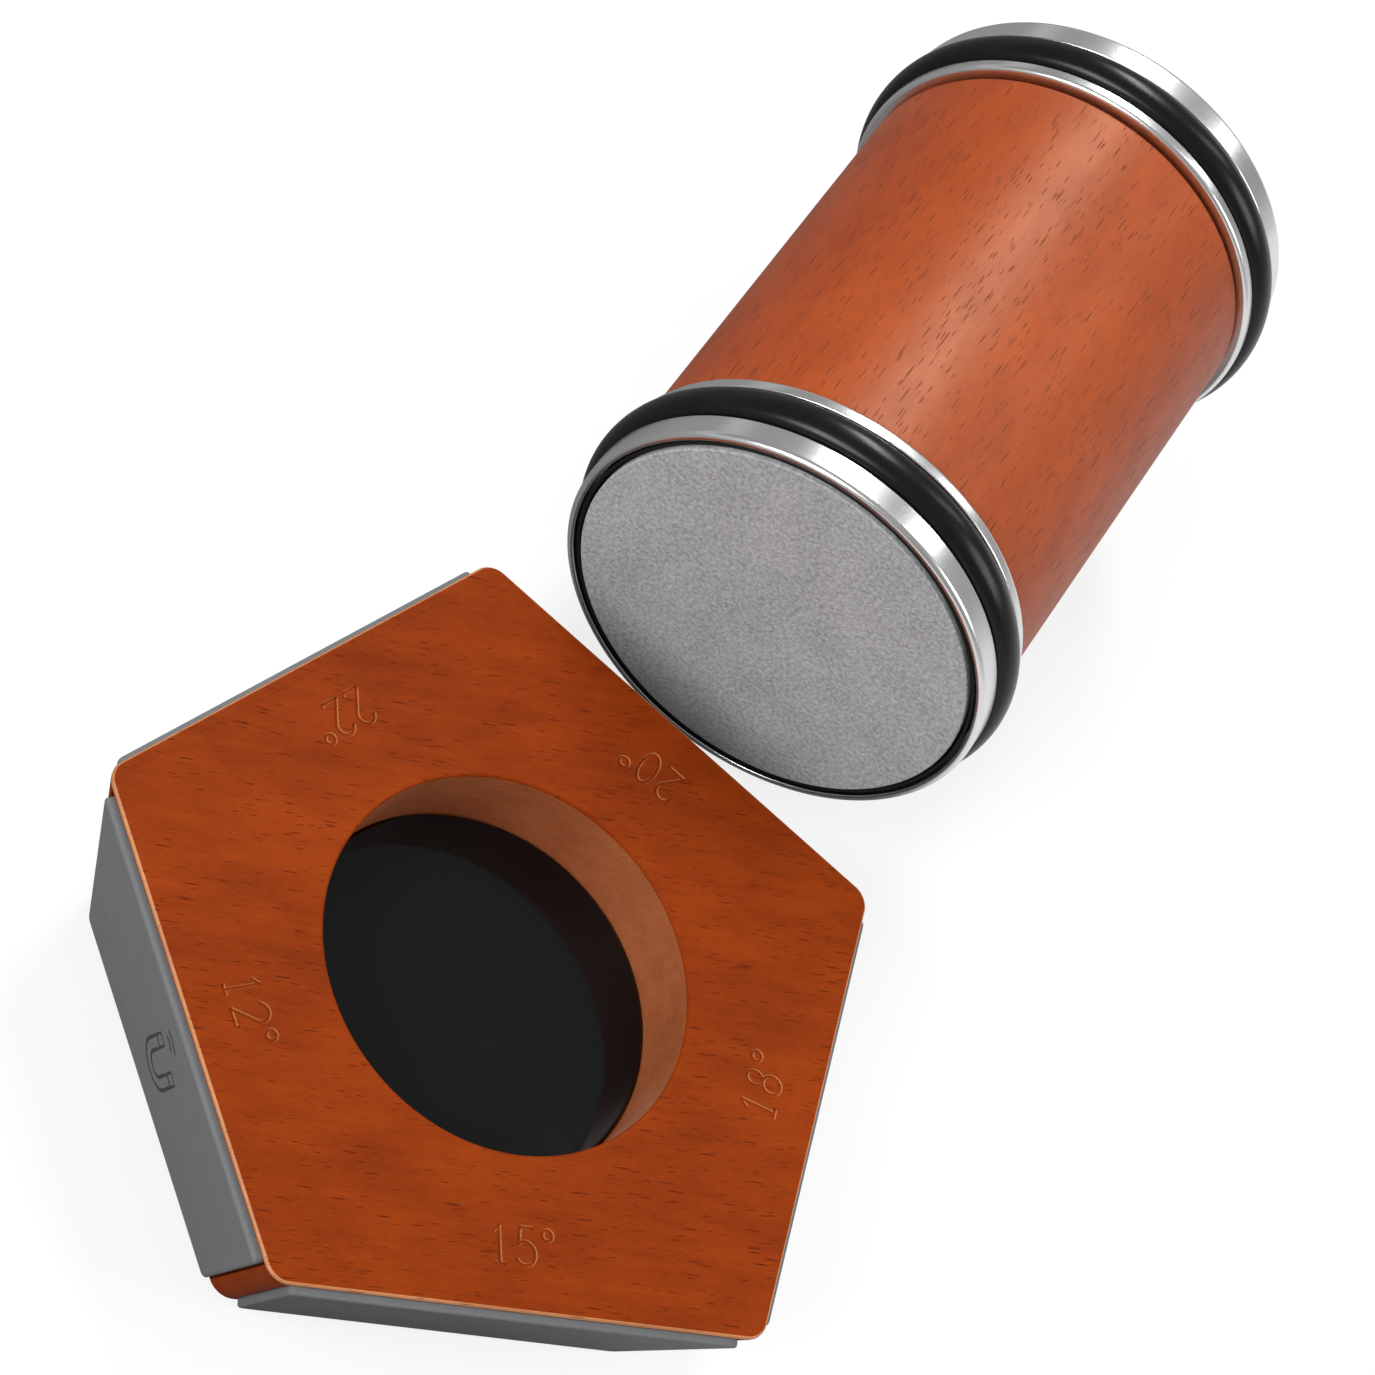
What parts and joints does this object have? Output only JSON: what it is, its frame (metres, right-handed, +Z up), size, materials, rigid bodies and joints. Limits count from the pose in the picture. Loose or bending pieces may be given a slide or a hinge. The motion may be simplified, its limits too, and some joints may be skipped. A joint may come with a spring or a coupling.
{
  "type": "rolling knife sharpener",
  "caption": "Wooden roller on rubber-tyred steel wheels with abrasive end plates, beside a pentagonal magnetic block whose leaning sides set the blade angle.",
  "frame": {"origin": "middle of the block's foot, on the surface that the block lies on", "axes": "+Z up, +Y from the block towards the roller along the roller's axle, +X along the roller's travel"},
  "size_m": [0.0989, 0.2007, 0.06],
  "materials": {
    "block_wood": "stained and oiled beech",
    "barrel_wood": "stained and lacquered beech",
    "side_pad": "matte grey",
    "recess_pad": "glossy black",
    "foot_rubber": "matte black",
    "tyre_rubber": "satin black",
    "polished_steel": "turned and polished steel",
    "diamond_grit": "fine grey diamond grit",
    "honing_steel": "fine turned steel",
    "magnet_rubber": "matte black",
    "nickel_magnet": "nickel plate",
    "cage_brass": "plain",
    "bearing_steel": "ground"
  },
  "bodies": {
    "block": {"block_body": "block_wood", "foot_pad": "foot_rubber", "magnet_12_1": "nickel_magnet", "magnet_12_2": "nickel_magnet", "magnet_15_1": "nickel_magnet", "magnet_15_2": "nickel_magnet", "magnet_18_1": "nickel_magnet", "magnet_18_2": "nickel_magnet", "magnet_20_1": "nickel_magnet", "magnet_20_2": "nickel_magnet", "magnet_22_1": "nickel_magnet", "magnet_22_2": "nickel_magnet", "recess_pad": "recess_pad", "side_pad_12": "side_pad", "side_pad_15": "side_pad", "side_pad_18": "side_pad", "side_pad_20": "side_pad", "side_pad_22": "side_pad"},
    "grip": {"diamond_bearing_outer_ring": "bearing_steel", "grip_barrel": "barrel_wood", "honing_bearing_outer_ring": "bearing_steel"},
    "wheelset": {"axle": "bearing_steel", "diamond_bearing_inner_ring": "bearing_steel", "diamond_magnet_cup": "magnet_rubber", "diamond_plate": "diamond_grit", "diamond_tyre": "tyre_rubber", "diamond_wheel": "polished_steel", "diamond_wheel_screw": "bearing_steel", "honing_bearing_inner_ring": "bearing_steel", "honing_magnet_cup": "magnet_rubber", "honing_plate": "honing_steel", "honing_tyre": "tyre_rubber", "honing_wheel": "polished_steel", "honing_wheel_screw": "bearing_steel", "spacer_tube": "bearing_steel"},
    "diamond_cage": {"diamond_bearing_ball_1": "bearing_steel", "diamond_bearing_ball_2": "bearing_steel", "diamond_bearing_ball_3": "bearing_steel", "diamond_bearing_ball_4": "bearing_steel", "diamond_bearing_ball_5": "bearing_steel", "diamond_bearing_ball_6": "bearing_steel", "diamond_bearing_ball_7": "bearing_steel", "diamond_bearing_cage": "cage_brass"},
    "honing_cage": {"honing_bearing_ball_1": "bearing_steel", "honing_bearing_ball_2": "bearing_steel", "honing_bearing_ball_3": "bearing_steel", "honing_bearing_ball_4": "bearing_steel", "honing_bearing_ball_5": "bearing_steel", "honing_bearing_ball_6": "bearing_steel", "honing_bearing_ball_7": "bearing_steel", "honing_bearing_cage": "cage_brass"}
  },
  "joints": [
    {"name": "roller_travel", "type": "slide", "parent": "block", "child": "grip", "axis": [1, 0, 0], "range_m": [-0.075, 0.075]},
    {"name": "wheel_spin", "type": "hinge", "parent": "grip", "child": "wheelset", "pos_m": [0, 0.10377, 0.03], "axis": [0, 1, 0], "continuous": true},
    {"name": "diamond_cage_spin", "type": "hinge", "parent": "grip", "child": "diamond_cage", "pos_m": [0, 0.10377, 0.03], "axis": [0, 1, 0], "continuous": true},
    {"name": "honing_cage_spin", "type": "hinge", "parent": "grip", "child": "honing_cage", "pos_m": [0, 0.10377, 0.03], "axis": [0, 1, 0], "continuous": true}
  ],
  "couplings": [
    {"joint": "diamond_cage_spin", "follows": "wheel_spin", "ratio": 0.368},
    {"joint": "honing_cage_spin", "follows": "wheel_spin", "ratio": 0.368}
  ]
}
